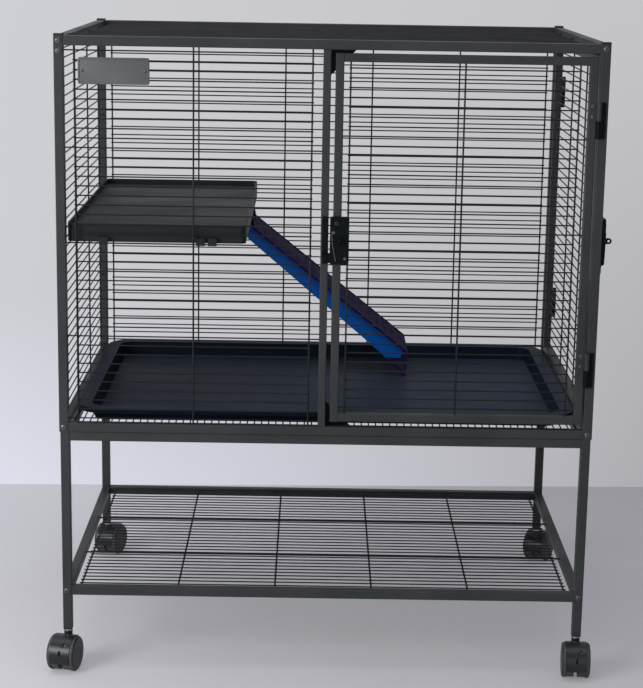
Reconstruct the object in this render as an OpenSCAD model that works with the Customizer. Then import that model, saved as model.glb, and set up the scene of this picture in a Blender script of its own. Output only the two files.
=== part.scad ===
// Wheeled two-level wire cage on a stand: tube frame, welded wire panels, two
// hinged doors with turn latches, lift-up ramp, shelf tray, floor pan and
// twin-wheel hooded casters.
// Millimetres. +X right, -Y front, +Z up; origin on the floor under the centre.

/* [Cage] */
// Width over the corner posts
cage_w = 914; // [820:1:1000]
// Depth over the corner posts
cage_d = 610; // [540:1:700]
// Height of the cage alone, base rails to top rails
cage_h = 671; // [600:1:760]
// Length of the stand legs
leg_len = 358; // [300:1:450]
// How far the stand's outside steps in from the cage's
stand_inset = 1.5; // [0:0.5:3]
// Height of the shelf rails above the leg ends
shelf_rise = 62; // [45:1:120]

/* [Tubes] */
// Side of the square frame tube
tube_w = 16; // [14:0.5:20]
// Side of the square door tube
door_tube = 14; // [12:0.5:15]
// Width of the centre post
centre_w = 13; // [11:0.5:16]
// Sideways place of the centre post
centre_x = -7.8; // [-40:0.1:40]
// Wall of all tubes
tube_wall = 1.2; // [0.8:0.1:1.5]
// Outer corner radius of all tubes
tube_r = 1.8; // [1.6:0.1:2.4]

/* [Wires] */
// Diameter of the close-set wires
wire_d = 2.4; // [2:0.1:3]
// Diameter of the wires that cross them
cross_d = 3; // [2.6:0.1:4]
// Spacing of the wall and roof wires
wall_pitch = 16; // [14:0.5:20]
// Spacing of the floor wires
floor_pitch = 12.4; // [11:0.1:16]
// Spacing of the shelf wires
shelf_pitch = 17; // [15:0.5:22]
// Diameter of the shelf's cross wires
shelf_cross_d = 3.5; // [3:0.1:4]
// Spacing of the shelf's cross wires
shelf_cross_pitch = 170; // [120:1:174]
// Place of the front carrier wire of the shelf, behind its middle
carrier_front = -116; // [-120:1:-112]
// Place of the back carrier wire of the shelf, behind its middle
carrier_back = 87; // [82:1:88]
// Depth of each weld
weld = 0.4; // [0.2:0.1:0.6]

/* [Doors] */
// Gap between a door and its latch-side post
gap_latch = 7.5; // [5:0.5:10]
// Gap between a door and its hinge-side post
gap_hinge = 3; // [2:0.5:5]
// Gap above each door
gap_top = 5.5; // [4:0.5:10]
// Gap below each door
gap_bottom = 9.5; // [5:0.5:14]
// Height of each hinge
hinge_h = 60; // [40:1:80]
// Height of the upper hinge's middle above the cage floor frame
hinge_hi = 546; // [440:1:560]
// Height of the lower hinge's middle above the cage floor frame
hinge_lo = 123; // [80:1:200]
// Diameter of the hinge knuckles
knuckle_d = 8; // [7:0.5:9]
// Diameter of the hinge pins
hinge_pin_d = 3.5; // [3:0.1:4.5]
// Thickness of the hinge leaves
leaf_t = 1.5; // [1:0.1:2]
// Width of each hinge leaf from the gap
leaf_w = 12; // [9:0.5:13]

/* [Latches] */
// Height of the latch case
case_h = 80; // [66:1:100]
// Width of the latch case
case_w = 32; // [30:0.5:36]
// Depth of the latch case
case_t = 9; // [8:0.5:12]
// Wall of the latch case
case_wall = 1.8; // [1.4:0.1:2.2]
// Height of the latches' middle above the cage floor frame
latch_rise = 340; // [240:1:400]
// Diameter of the latch spindle
spindle_d = 8; // [6:0.5:9]
// Reach of the locking finger from the spindle
finger_len = 24.5; // [22:0.5:26]

/* [Platform] */
// Width of the platform, left to right
platform_w = 300; // [220:1:400]
// Depth of its rim wall
platform_h = 31; // [26:1:36]
// How far its top panel lies below its rim
platform_dip = 9; // [3:0.5:12]
// Gap between the platform and the left posts
platform_gap = 1; // [0.5:0.5:6]
// Wall thickness of the platform
platform_wall = 3; // [2:0.5:4]

/* [Tray] */
// Gap between the tray and the frame all round
tray_gap = 8; // [1:0.5:12]
// Height of the tray
tray_h = 26; // [20:1:40]
// Width of the tray's level rim
ledge_w = 24; // [8:1:30]
// Depth of the lip round the tray's rim
tray_skirt = 8; // [5:1:14]
// Corner radius inside the tray's rim
tray_corner = 26; // [16:1:40]
// Wall thickness of the tray
tray_t = 3; // [2:0.5:4]

/* [Ramp] */
// Width of the ramp
ramp_w = 158; // [110:1:190]
// Distance of the ramp from the back posts
ramp_inset = 43; // [5:1:60]
// Slope of the ramp below level, in degrees
ramp_angle = 38.5; // [37:0.1:40]
// Length of the ramp deck
ramp_len = 396; // [390:1:400]
// Thickness of the deck and of the side plates
ramp_t = 4; // [3:0.5:5]
// Depth of the side plates at the top, measured straight down
side_top = 28; // [22:1:34]
// Depth of the side plates at the foot, measured straight down
side_low = 42; // [36:1:46]

/* [Casters] */
// Diameter of the caster wheels
wheel_d = 62; // [60:1:64]
// Distance from the floor to the leg ends
caster_h = 72; // [72:1:80]
// Width over both wheels
caster_w = 49; // [44:1:54]
// Width of one wheel's outer band
band_w = 6; // [4:0.5:7]
// Distance of the axle behind the stem
trail = 18; // [16:1:20]
// Direction of the front left caster, in degrees
turn_fl = -13; // [-180:1:180]
// Direction of the front right caster, in degrees
turn_fr = -4; // [-180:1:180]
// Direction of the back left caster, in degrees
turn_bl = 160; // [-180:1:180]
// Direction of the back right caster, in degrees
turn_br = 152; // [-180:1:180]

/* [Fasteners] */
// Diameter of the bolt heads
bolt_head_d = 10; // [8:0.5:12]
// Diameter of the bolt shanks
bolt_d = 6; // [5:0.5:7]

/* [Hidden] */

// Finishes
FRAME = [0.23, 0.24, 0.24];
WIRE = [0.12, 0.12, 0.13];
BLACK = [0.07, 0.07, 0.08];
STEEL = [0.72, 0.73, 0.75];
GREY = [0.25, 0.26, 0.25];
PURPLE = [0.18, 0.15, 0.25];
BLUE = [0.05, 0.24, 0.45];

// Smoothness of round parts, and the sides of a drawn wire
$fn = 48;
WIRE_SIDES = 8;
MESH = 0.01;

// Small fits
seat = 0.3;
running = 0.06;
loose = 0.3;

// Levels
base_z = caster_h + leg_len;
base_top = base_z + tube_w;
roof_z = base_z + cage_h;
roof_under = roof_z - tube_w;
shelf_z = caster_h + shelf_rise;
shelf_top = shelf_z + tube_w;

// Post and leg centres, and the clear faces between them
post_x = (cage_w - tube_w) / 2;
post_y = (cage_d - tube_w) / 2;
post_in_x = cage_w / 2 - tube_w;
post_in_y = cage_d / 2 - tube_w;
leg_x = post_x - stand_inset;
leg_y = post_y - stand_inset;
leg_in_x = post_in_x - stand_inset;
leg_in_y = post_in_y - stand_inset;
centre_left = centre_x - centre_w / 2;
centre_right = centre_x + centre_w / 2;
SIDES = [-1, 1];

// ---------- tubes ----------

// Square or oblong outline with rounded corners
module rounded(w, h, r) {
  square([w - 2 * r, h], center = true);
  square([w, h - 2 * r], center = true);
  for (x = SIDES, y = SIDES)
    translate([x * (w / 2 - r), y * (h / 2 - r)])
      circle(r = r);
}

// Outline of a drawn tube
module tube_outline(w, h = 0) {
  deep = h > 0 ? h : w;
  difference() {
    rounded(w, deep, tube_r);
    rounded(w - 2 * tube_wall, deep - 2 * tube_wall, tube_r - tube_wall);
  }
}

// Tubes standing, running left to right, and running front to back
module tube_up(len, w = tube_w, h = 0)
  linear_extrude(height = len)
    tube_outline(w, h);

module tube_across(len, w = tube_w)
  translate([-len / 2, 0, 0])
    rotate([90, 0, 90])
      linear_extrude(height = len)
        tube_outline(w);

module tube_along(len, w = tube_w)
  translate([0, len / 2, 0])
    rotate([90, 0, 0])
      linear_extrude(height = len)
        tube_outline(w);

// Four rails between upright tubes whose clear faces lie at in_x and in_y
module rail_ring(in_x, in_y, z) {
  for (side = SIDES) {
    translate([0, side * (in_y + tube_w / 2), z + tube_w / 2])
      tube_across(2 * in_x);
    translate([side * (in_x + tube_w / 2), 0, z + tube_w / 2])
      tube_along(2 * in_y);
  }
}

// ---------- wires ----------

function row_count(span, pitch) = floor((span - pitch / 2) / pitch) + 1;
function row_first(span, pitch, n) = (span - (n - 1) * pitch) / 2;

module wire(len, d)
  cylinder(d = d, h = len, $fn = WIRE_SIDES);

// Welded panel in the XZ plane: upright wires at xs, and level wires between
// the outer uprights, of which the lowest and each tenth run on to the frame
reach_step = 10;
module wire_panel(w, h, n, pitch, xs, out = -1) {
  lift = (wire_d + cross_d) / 2 - weld;
  stub = cross_d / 2 + 1;
  start = min(xs) - stub;
  end = max(xs) + stub;
  union() {
    for (i = [0:n - 1]) {
      long = i == 0 || (i + 1) % reach_step == 0;
      translate([long ? 0 : start, 0, row_first(h, pitch, n) + i * pitch])
        rotate([0, 90, 0])
          wire(long ? w : end - start, wire_d);
    }
    for (x = xs)
      translate([x, out * lift, 0])
        wire(h, cross_d);
  }
}

// ---------- stand ----------

module bolt_hole(x, z)
  translate([x, 0, z])
    rotate([90, 0, 0])
      cylinder(d = bolt_d + 2 * loose, h = cage_d * 2, center = true);

shelf_bolt_z = shelf_z + tube_w / 2;
base_bolt_z = base_z + tube_w / 2;
top_bolt_z = roof_z - tube_w / 2;
bolt_step = 17;

module leg(sx, sy)
  color(FRAME)
    difference() {
      translate([sx * leg_x, sy * leg_y, caster_h])
        tube_up(leg_len);
      bolt_hole(sx * leg_x, shelf_bolt_z);
    }

module leg_front_left() leg(-1, -1);
module leg_front_right() leg(1, -1);
module leg_back_left() leg(-1, 1);
module leg_back_right() leg(1, 1);

module stand_top_rails()
  color(FRAME)
    rail_ring(leg_in_x, leg_in_y, base_z - tube_w);

module shelf_rails()
  color(FRAME)
    rail_ring(leg_in_x, leg_in_y, shelf_z);

// Shelf: close wires across, six cross wires, two carriers out to the side rails
shelf_wire_z = shelf_top - wire_d / 2 - 0.2;
shelf_cross_z = shelf_wire_z - (wire_d + shelf_cross_d) / 2 + weld;
shelf_cross_n = 6;
shelf_half = (shelf_cross_n - 1) / 2 * shelf_cross_pitch;

module shelf_grille()
  color(WIRE) {
    n = row_count(2 * leg_in_y, shelf_pitch);
    first = row_first(2 * leg_in_y, shelf_pitch, n) - leg_in_y;
    overhang = shelf_cross_d;
    union() {
      for (i = [0:n - 1])
        translate([-shelf_half - overhang, first + i * shelf_pitch, shelf_wire_z])
          rotate([0, 90, 0])
            wire(2 * (shelf_half + overhang), wire_d);
      for (i = [0:shelf_cross_n - 1])
        translate([i * shelf_cross_pitch - shelf_half, leg_in_y, shelf_cross_z])
          rotate([90, 0, 0])
            wire(2 * leg_in_y, shelf_cross_d);
      for (y = [carrier_front, carrier_back])
        translate([-leg_in_x, y, shelf_wire_z])
          rotate([0, 90, 0])
            wire(2 * leg_in_x, shelf_cross_d);
    }
  }

// Button-head bolt with a hexagon socket, pushed in along +Y from its face
module bolt(len) {
  head_t = 3.2;
  socket = bolt_head_d / 2;
  rotate([90, 0, 0])
    difference() {
      union() {
        translate([0, 0, -len])
          cylinder(d = bolt_d, h = len + weld);
        rotate_extrude()
          intersection() {
            square([bolt_head_d / 2, head_t]);
            translate([0, -bolt_head_d / 2])
              circle(r = bolt_head_d / 2 + head_t);
          }
      }
      translate([0, 0, head_t / 3])
        cylinder(d = socket, h = head_t, $fn = 6);
    }
}

// Bolts front and back through the corner tubes whose faces lie at `face`
module bolt_set(half_w, face, zs) {
  reach = tube_w + tube_w / 2;
  for (sx = SIDES, z = zs) {
    translate([sx * half_w, -face, z])
      bolt(reach);
    translate([sx * half_w, face, z])
      rotate([0, 0, 180])
        bolt(reach);
  }
}

module stand_bolts()
  color(BLACK)
    bolt_set(leg_x, cage_d / 2 - stand_inset, [shelf_bolt_z]);

// ---------- cage frame ----------

module post(sx, sy, zs = [base_bolt_z, top_bolt_z])
  color(FRAME)
    difference() {
      translate([sx * post_x, sy * post_y, base_z])
        tube_up(cage_h);
      for (z = zs)
        bolt_hole(sx * post_x, z);
    }

module post_front_left() post(-1, -1, [base_bolt_z, top_bolt_z - bolt_step, top_bolt_z]);
module post_front_right() post(1, -1);
module post_back_left() post(-1, 1);
module post_back_right() post(1, 1);

module base_rails()
  color(FRAME)
    rail_ring(post_in_x, post_in_y, base_z);

module top_rails()
  color(FRAME)
    rail_ring(post_in_x, post_in_y, roof_under);

module centre_post()
  color(FRAME)
    translate([centre_x, -post_y, base_top])
      tube_up(roof_under - base_top, centre_w, tube_w);

wall_h = roof_under - base_top;
wall_n = row_count(wall_h, wall_pitch);
panel_edge = 17;

module front_wires()
  color(WIRE) {
    w = centre_left + post_in_x;
    translate([-post_in_x, -post_y, base_top])
      wire_panel(w, wall_h, wall_n, wall_pitch, [panel_edge, w / 2, w - panel_edge]);
  }

// Six uprights over the back
back_edge = 12;
back_xs = [for (i = [0:5]) back_edge + i * (2 * post_in_x - 2 * back_edge) / 5];

module back_wires()
  color(WIRE)
    translate([-post_in_x, post_y, base_top])
      wire_panel(2 * post_in_x, wall_h, wall_n - 1, wall_pitch, back_xs, 1);

// Four uprights over a side wall
side_edge = 27;
side_ys = [for (i = [0:3]) side_edge + i * (2 * post_in_y - 2 * side_edge) / 3];

module left_wires()
  color(WIRE)
    translate([-post_x, post_in_y, base_top])
      rotate([0, 0, -90])
        wire_panel(2 * post_in_y, wall_h, wall_n, wall_pitch, side_ys);

module roof_wires()
  color(WIRE) {
    n = row_count(2 * post_in_y, wall_pitch);
    translate([-post_in_x, -post_in_y, roof_z - tube_w / 2])
      rotate([-90, 0, 0])
        wire_panel(2 * post_in_x, 2 * post_in_y, n, wall_pitch, back_xs, 1);
  }

// Floor: close wires front to back over four wires left to right
floor_wire_z = base_z + tube_w / 2;
floor_cross_z = floor_wire_z - (wire_d + cross_d) / 2 + weld;
floor_cross_n = 4;

module floor_grille()
  color(WIRE) {
    n = row_count(2 * post_in_x, floor_pitch);
    first = row_first(2 * post_in_x, floor_pitch, n) - post_in_x;
    step = 2 * post_in_y / (floor_cross_n + 1);
    union() {
      for (i = [0:n - 1])
        translate([first + i * floor_pitch, post_in_y, floor_wire_z])
          rotate([90, 0, 0])
            wire(2 * post_in_y, wire_d);
      for (i = [1:floor_cross_n])
        translate([-post_in_x, i * step - post_in_y, floor_cross_z])
          rotate([0, 90, 0])
            wire(2 * post_in_x, cross_d);
    }
  }

// Push-in end caps on the posts
cap_t = 3;
cap_plug = 12;
module post_caps()
  color(BLACK)
    for (sx = SIDES, sy = SIDES)
      translate([sx * post_x, sy * post_y, roof_z]) {
        linear_extrude(height = cap_t)
          rounded(tube_w, tube_w, tube_r);
        plug_w = tube_w - 2 * tube_wall - 0.2;
        translate([0, 0, -(tube_w / 2 - bolt_d / 2 - 2 * loose)])
          linear_extrude(height = tube_w / 2 - bolt_d / 2 - 2 * loose + weld)
            rounded(plug_w, plug_w, tube_r - tube_wall);
      }

// Corner plates behind the front door that stop it from swinging in
stop_t = 2;
stop_y = -cage_d / 2 + door_tube + seat;
stop_leg = 42;
module door_stops()
  color(BLACK)
    for (end = [[roof_under, -1], [base_top, 1]])
      translate([centre_right, stop_y + stop_t, end[0]])
        rotate([90, 0, 0])
          linear_extrude(height = stop_t)
            polygon([[0, 0], [stop_leg, 0], [0, end[1] * stop_leg]]);

module frame_bolts()
  color(BLACK) {
    bolt_set(post_x, cage_d / 2, [base_bolt_z, top_bolt_z]);
    translate([-post_x, -cage_d / 2, top_bolt_z - bolt_step])
      bolt(tube_w - 2 * tube_wall);
  }

// ---------- swept rims ----------

// Sweeps an outline round a rounded oblong: x is the reach from the corner
// centre, so the outline's x must stay above zero
module rim_sweep(w, d, r) {
  cx = w / 2 - r;
  cy = d / 2 - r;
  for (q = [0:3]) {
    a = q % 2 == 0 ? cx : cy;
    b = q % 2 == 0 ? cy : cx;
    rotate([0, 0, q * 90]) {
      translate([a, b, 0])
        rotate_extrude(angle = 90)
          children();
      translate([a, b, 0])
        rotate([90, 0, 0])
          linear_extrude(height = 2 * b)
            children();
    }
  }
}

// ---------- platform ----------

platform_row = 19;
platform_z = base_top + row_first(wall_h, wall_pitch, wall_n)
             + platform_row * wall_pitch + wire_d / 2 + seat;
platform_d = 2 * (post_y - wire_d / 2 - 3.8);
platform_x = -post_in_x + platform_gap + platform_w / 2;
platform_r = 10;
clip_w = 15;
clip_drop = 9;

// Hook that passes over one wall wire; its heel is on the wall at y = 0
module wire_clip(reach) {
  hook_t = 2.5;
  rotate([90, 0, 90])
    translate([0, 0, -clip_w / 2])
      linear_extrude(height = clip_w)
        polygon([[weld, 0], [weld, clip_drop], [-reach - hook_t, clip_drop],
                 [-reach - hook_t, -wire_d - 1], [-reach, -wire_d - 1], [-reach, 0]]);
}

hinge_bar_d = 8;
bar_x = platform_x + platform_w / 2 - platform_wall - hinge_bar_d / 2 - 4;
bar_z = platform_z - 3;
ear_room = 15;
bar_len = ramp_w + 2 * ear_room;
ramp_y = post_in_y - ramp_inset - ramp_w;
bar_y = ramp_y + ramp_w / 2;

module platform()
  color(GREY) {
    top = platform_z + platform_h;
    panel_top = top - platform_dip;
    clip_reach = post_y + wire_d / 2 + seat - platform_d / 2;
    rib_drop = 10;
    union() {
      translate([platform_x, 0, 0])
        rim_sweep(platform_w, platform_d, platform_r)
          translate([platform_r - platform_wall, platform_z])
            square([platform_wall, platform_h]);
      translate([platform_x, 0, panel_top - platform_wall])
        linear_extrude(height = platform_wall)
          rounded(platform_w - platform_wall, platform_d - platform_wall,
                  platform_r - platform_wall / 2);
      for (side = SIDES)
        for (k = [1:3])
          translate([platform_x - platform_w / 2 + platform_wall / 2,
                     side * k * platform_d / 8 - platform_wall / 2,
                     panel_top - platform_wall - rib_drop])
            cube([platform_w / 2, platform_wall, rib_drop + weld]);
      for (x = [-0.295, 0.248, 0.313])
        for (side = SIDES) {
          row_z = side < 0 ? platform_z : platform_z + wall_pitch / 2;
          translate([platform_x + x * platform_w, side * platform_d / 2, row_z])
            mirror([0, side > 0 ? 1 : 0, 0])
              wire_clip(clip_reach);
        }
      ramp_hanger(panel_top);
    }
  }

// Bar under the platform's right edge that the ramp hangs on, with its two ears
module ramp_hanger(under) {
  ear_t = 5;
  ear_w = hinge_bar_d + 4;
  translate([bar_x, bar_y, bar_z])
    rotate([90, 0, 0])
      cylinder(d = hinge_bar_d, h = bar_len, center = true);
  for (side = SIDES)
    translate([bar_x, bar_y + side * (bar_len / 2 - ear_t / 2), 0])
      rotate([90, 0, 0])
        linear_extrude(height = ear_t, center = true)
          union() {
            translate([0, bar_z])
              circle(d = ear_w);
            translate([-ear_w / 2, bar_z])
              square([ear_w, under - platform_wall + weld - bar_z]);
          }
}

// ---------- tray ----------

tray_z = floor_wire_z + wire_d / 2 + seat;
tray_floor = tray_z + tray_t;
tray_top = tray_z + tray_h;

tray_w = 2 * (post_in_x - tray_gap);
tray_d = 2 * (post_in_y - tray_gap);
tray_r = ledge_w + tray_corner;
tray_draft = 8;
tray_toe = tray_corner - tray_draft;

// Floor of the tray, with its edge against the foot of the wall
module tray()
  color(BLACK) {
    in = tray_r - tray_toe;
    corner_play = 0.6;
    translate([0, 0, tray_z])
      linear_extrude(height = tray_t)
        rounded(tray_w - 2 * in, tray_d - 2 * in, tray_toe + corner_play);
  }

// Wall, ledge and turned-down lip round the tray
module tray_rim()
  color(BLACK)
    rim_sweep(tray_w, tray_d, tray_r)
      polygon([[tray_r - tray_t, tray_top - tray_skirt], [tray_r, tray_top - tray_skirt],
               [tray_r, tray_top], [tray_corner, tray_top], [tray_toe, tray_floor],
               [tray_toe, tray_z], [tray_toe + tray_t, tray_z],
               [tray_corner + tray_t, tray_top - tray_t], [tray_r - tray_t, tray_top - tray_t]]);

// ---------- ramp ----------

// The deck line falls from under the platform's edge to the tray
slope = tan(ramp_angle);
ramp_x0 = bar_x;
deck_below = 12.3;
deck_drop = hinge_bar_d / 2 + deck_below;
deck_z0 = bar_z - deck_drop / cos(ramp_angle);
function deck_z(x) = deck_z0 - (x - ramp_x0) * slope;
ramp_x1 = ramp_x0 + ramp_len * cos(ramp_angle);
foot_z = tray_floor + seat;
foot_x = ramp_x1 - 7;
foot_half = 2;
side_run = 52;
heel_x = ramp_x1 - side_run;
heel_z = deck_z(heel_x) - side_low;
heel_slope = (heel_z - foot_z) / (foot_x - foot_half - heel_x);
panel_line = heel_z - 9;

module side_outline() {
  polygon([[ramp_x0, deck_z(ramp_x0)], [ramp_x1, deck_z(ramp_x1)], [foot_x + foot_half, foot_z],
           [foot_x - foot_half, foot_z], [heel_x, heel_z], [ramp_x0, deck_z(ramp_x0) - side_top]]);
}

// Coloured part of a side, `fit` smaller than its recess, which is cut `over`
// past the open edges
panel_t = 2.3;
end_rim = 11;
module panel_outline(fit, over) {
  e = 2.5 + fit;
  x0 = ramp_x0 - over;
  x1 = ramp_x1 - end_rim - fit;
  heel_cut = heel_x + (heel_z - panel_line) / heel_slope;
  polygon([[x0, deck_z(x0) - e], [x1, deck_z(x1) - e - 1], [x1 - 3, panel_line + fit],
           [heel_cut - over, panel_line + fit], [heel_x - over, heel_z - over],
           [x0, deck_z(ramp_x0) - side_top - over]]);
}

module foot_window() {
  top = panel_line - 5;
  polygon([[heel_x + (heel_z - top) / heel_slope + 6, top], [foot_x + 1, top],
           [foot_x - 1, foot_z + 9]]);
}

module upright_plate(y, t)
  translate([0, y + t, 0])
    rotate([90, 0, 0])
      linear_extrude(height = t)
        children();

hook_w = 16;
hook_r = hinge_bar_d / 2 + running;

module ramp_hook(y) {
  wall = 3;
  ring = hook_r + wall;
  toe = ramp_x0 + ring + 6;
  upright_plate(y, hook_w)
    difference() {
      union() {
        translate([bar_x, bar_z])
          circle(r = ring);
        polygon([[bar_x - ring, bar_z], [ramp_x0, deck_z(ramp_x0) - 2], [toe, deck_z(toe) - 2],
                 [bar_x + ring, bar_z]]);
      }
      translate([bar_x, bar_z])
        circle(r = hook_r);
      translate([bar_x, bar_z])
        rotate(-ramp_angle)
          translate([-hook_r - 2 * wall, -hook_r / 2])
            square([hook_r + 2 * wall, hook_r]);
    }
}

module ramp()
  color(PURPLE) {
    grip_pitch = 20;
    grip_w = 4;
    grip_h = 1;
    lip_h = 2;
    hook_inset = 22;
    difference() {
      union() {
        upright_plate(ramp_y, ramp_w)
          polygon([[ramp_x0, deck_z(ramp_x0)], [ramp_x1, deck_z(ramp_x1)],
                   [ramp_x1, deck_z(ramp_x1) - ramp_t / cos(ramp_angle)],
                   [ramp_x0, deck_z(ramp_x0) - ramp_t / cos(ramp_angle)]]);
        for (y = [ramp_y, ramp_y + ramp_w - ramp_t])
          upright_plate(y, ramp_t)
            difference() {
              union() {
                side_outline();
                polygon([[ramp_x0, deck_z(ramp_x0) - weld], [ramp_x1, deck_z(ramp_x1) - weld],
                         [ramp_x1, deck_z(ramp_x1) + lip_h], [ramp_x0, deck_z(ramp_x0) + lip_h]]);
              }
              foot_window();
            }
      }
      upright_plate(ramp_y - 1, panel_t + seat + 1)
        panel_outline(0, 2);
      upright_plate(ramp_y + ramp_w - panel_t - seat, panel_t + seat + 1)
        panel_outline(0, 2);
    }
    for (s = [grip_pitch:grip_pitch:ramp_len - grip_pitch])
      translate([ramp_x0, ramp_y + ramp_t - weld, deck_z0])
        rotate([0, ramp_angle, 0])
          translate([s, 0, -weld])
            cube([grip_w, ramp_w - 2 * ramp_t + 2 * weld, grip_h + weld]);
    for (y = [ramp_y + hook_inset, ramp_y + ramp_w - hook_inset - hook_w])
      ramp_hook(y);
  }

module ramp_side_panels()
  color(BLUE)
    for (y = [ramp_y, ramp_y + ramp_w - panel_t])
      upright_plate(y, panel_t)
        panel_outline(0.2, 0);

// ---------- doors ----------
// Door pieces are drawn with the hinge-side post's inner edge at the origin,
// the frame's face at y = 0, the door reaching to -X and opening towards -Y.

door_z0 = base_top + gap_bottom;
door_z1 = roof_under - gap_top;
front_door_w = post_in_x - centre_right - gap_hinge - gap_latch;
side_door_w = 2 * post_in_y - gap_hinge - gap_latch;
hinge_y = -leaf_t - knuckle_d / 2 + 0.5;
hinge_zs = [base_z + hinge_lo, base_z + hinge_hi];
latch_z = base_z + latch_rise;
knuckle_n = 2;

module at_front_door()
  translate([post_in_x, -cage_d / 2, 0])
    children();

module at_side_door()
  translate([cage_w / 2, post_in_y, 0])
    rotate([0, 0, 90])
      children();

module door_frame(w)
  color(FRAME) {
    h = door_z1 - door_z0;
    mid = -gap_hinge - w / 2;
    for (x = [-gap_hinge - door_tube / 2, -gap_hinge - w + door_tube / 2])
      translate([x, door_tube / 2, door_z0])
        tube_up(h, door_tube);
    for (z = [door_z0 + door_tube / 2, door_z1 - door_tube / 2])
      translate([mid, door_tube / 2, z])
        tube_across(w - 2 * door_tube, door_tube);
  }

module door_wires(w, xs)
  color(WIRE) {
    in_w = w - 2 * door_tube;
    in_h = door_z1 - door_z0 - 2 * door_tube;
    n = row_count(in_h, wall_pitch);
    translate([-gap_hinge - w + door_tube, door_tube / 2, door_z0 + door_tube])
      wire_panel(in_w, in_h, n, wall_pitch, xs);
  }

// One knuckle of the row, counted from the bottom
module knuckle(k) {
  h = hinge_h / knuckle_n;
  play = 0.15;
  translate([0, hinge_y, -hinge_h / 2 + k * h + play])
    cylinder(d = knuckle_d, h = h - 2 * play);
}

// Leaf on the door: the upper knuckle bored for the pin, and its short plate
module door_leaf()
  difference() {
    union() {
      for (k = [1:2:knuckle_n - 1]) {
        h = hinge_h / knuckle_n;
        knuckle(k);
        translate([-leaf_w, -leaf_t, -hinge_h / 2 + k * h + 0.15])
          cube([leaf_w, leaf_t, h - 0.3]);
      }
      translate([-gap_hinge - leaf_w, -leaf_t, 0.15])
        cube([leaf_w - 0.5, leaf_t, hinge_h / 2 - 0.3]);
    }
    translate([0, hinge_y, 0])
      cylinder(d = hinge_pin_d + 2 * running, h = hinge_h + 2, center = true);
  }

// Leaf on the post: the lower knuckle, a plate of the full height and the pin
module post_leaf()
  union() {
    for (k = [0:2:knuckle_n - 1])
      difference() {
        h = hinge_h / knuckle_n;
        union() {
          knuckle(k);
          translate([0, -leaf_t, -hinge_h / 2 + k * h + 0.15])
            cube([leaf_w, leaf_t, h - 0.3]);
        }
      }
    translate([knuckle_d / 2 + 0.5, -leaf_t, -hinge_h / 2])
      cube([leaf_w - knuckle_d / 2 - 0.5, leaf_t, hinge_h]);
    translate([0, hinge_y, 0])
      cylinder(d = hinge_pin_d, h = hinge_h, center = true);
  }

module door_leaves()
  color(FRAME)
    for (z = hinge_zs)
      translate([0, 0, z])
        door_leaf();

module fixed_hinge_leaves()
  color(BLACK) {
    at_front_door()
      for (z = hinge_zs)
        translate([0, 0, z])
          post_leaf();
    at_side_door()
      for (z = hinge_zs)
        translate([0, 0, z])
          post_leaf();
  }

// Latch case on the door's free stile
case_over = 5;
function case_x(w) = -gap_hinge - w - case_over + case_w / 2;
finger_t = 2;
finger_w = 7;
finger_y = -4.2;

// with a low tab that laps over the post
tab_w = 3.7;
tab_h = 17;
tab_t = 1.7;
module latch_case(w)
  color(BLACK)
    translate([case_x(w), 0, latch_z])
      difference() {
        union() {
          bevelled_plate(case_w, case_h, case_t, 1.5);
          translate([-case_w / 2 - tab_w, -seat - tab_t, -case_h / 2 + 1])
            cube([tab_w + 2, tab_t, tab_h]);
        }
        translate([0, 1, 0])
          bevelled_plate(case_w - 2 * case_wall, case_h - 2 * case_wall, case_t - case_wall + 1, 1);
        rotate([90, 0, 0])
          cylinder(d = spindle_d + 2 * running, h = 3 * case_t, center = true);
        translate([-case_w / 2 - 1, finger_y - finger_t / 2 - loose, -finger_w / 2 - 1])
          cube([case_wall + 2, finger_t + 2 * loose, finger_len + finger_w / 2 + 1]);
      }

// Plate standing on y = 0 towards -Y with a chamfer round its face
module bevelled_plate(w, h, t, c)
  rotate([90, 0, 0])
    union() {
      linear_extrude(height = t - c)
        rounded(w, h, 3);
      translate([0, 0, t - c - MESH])
        linear_extrude(height = c + MESH)
          rounded(w - 2 * c, h - 2 * c, 2);
    }

// Thumb turn: round base, upright ring, spindle and the finger behind the case
module latch_turn(w)
  color(BLACK)
    translate([case_x(w), 0, latch_z]) {
      base_t = 2;
      ring_t = 3;
      ring_r = 5;
      ring_hole = 2.2;
      out = case_t + seat;
      union() {
        translate([0, -out, 0])
          rotate([90, 0, 0])
            cylinder(d = spindle_d + 5, h = base_t);
        rotate([90, 0, 0])
          translate([0, 0, -finger_y - finger_t / 2])
            cylinder(d = spindle_d, h = out + finger_y + finger_t / 2 + weld);
        difference() {
          translate([-ring_t / 2, -out - base_t + weld, 0])
            rotate([90, 0, 90])
              linear_extrude(height = ring_t)
                union() {
                  translate([-ring_r - 1, 0])
                    circle(r = ring_r);
                  translate([-ring_r - 1, -ring_r])
                    square([ring_r + 1, 2 * ring_r]);
                }
          translate([0, -out - base_t + weld - ring_r - 1, 0])
            rotate([0, 90, 0])
              cylinder(r = ring_hole, h = 2 * ring_t, center = true);
        }
        translate([-finger_w / 2, finger_y - finger_t / 2, 0])
          cube([finger_w, finger_t, finger_len]);
      }
    }

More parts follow.
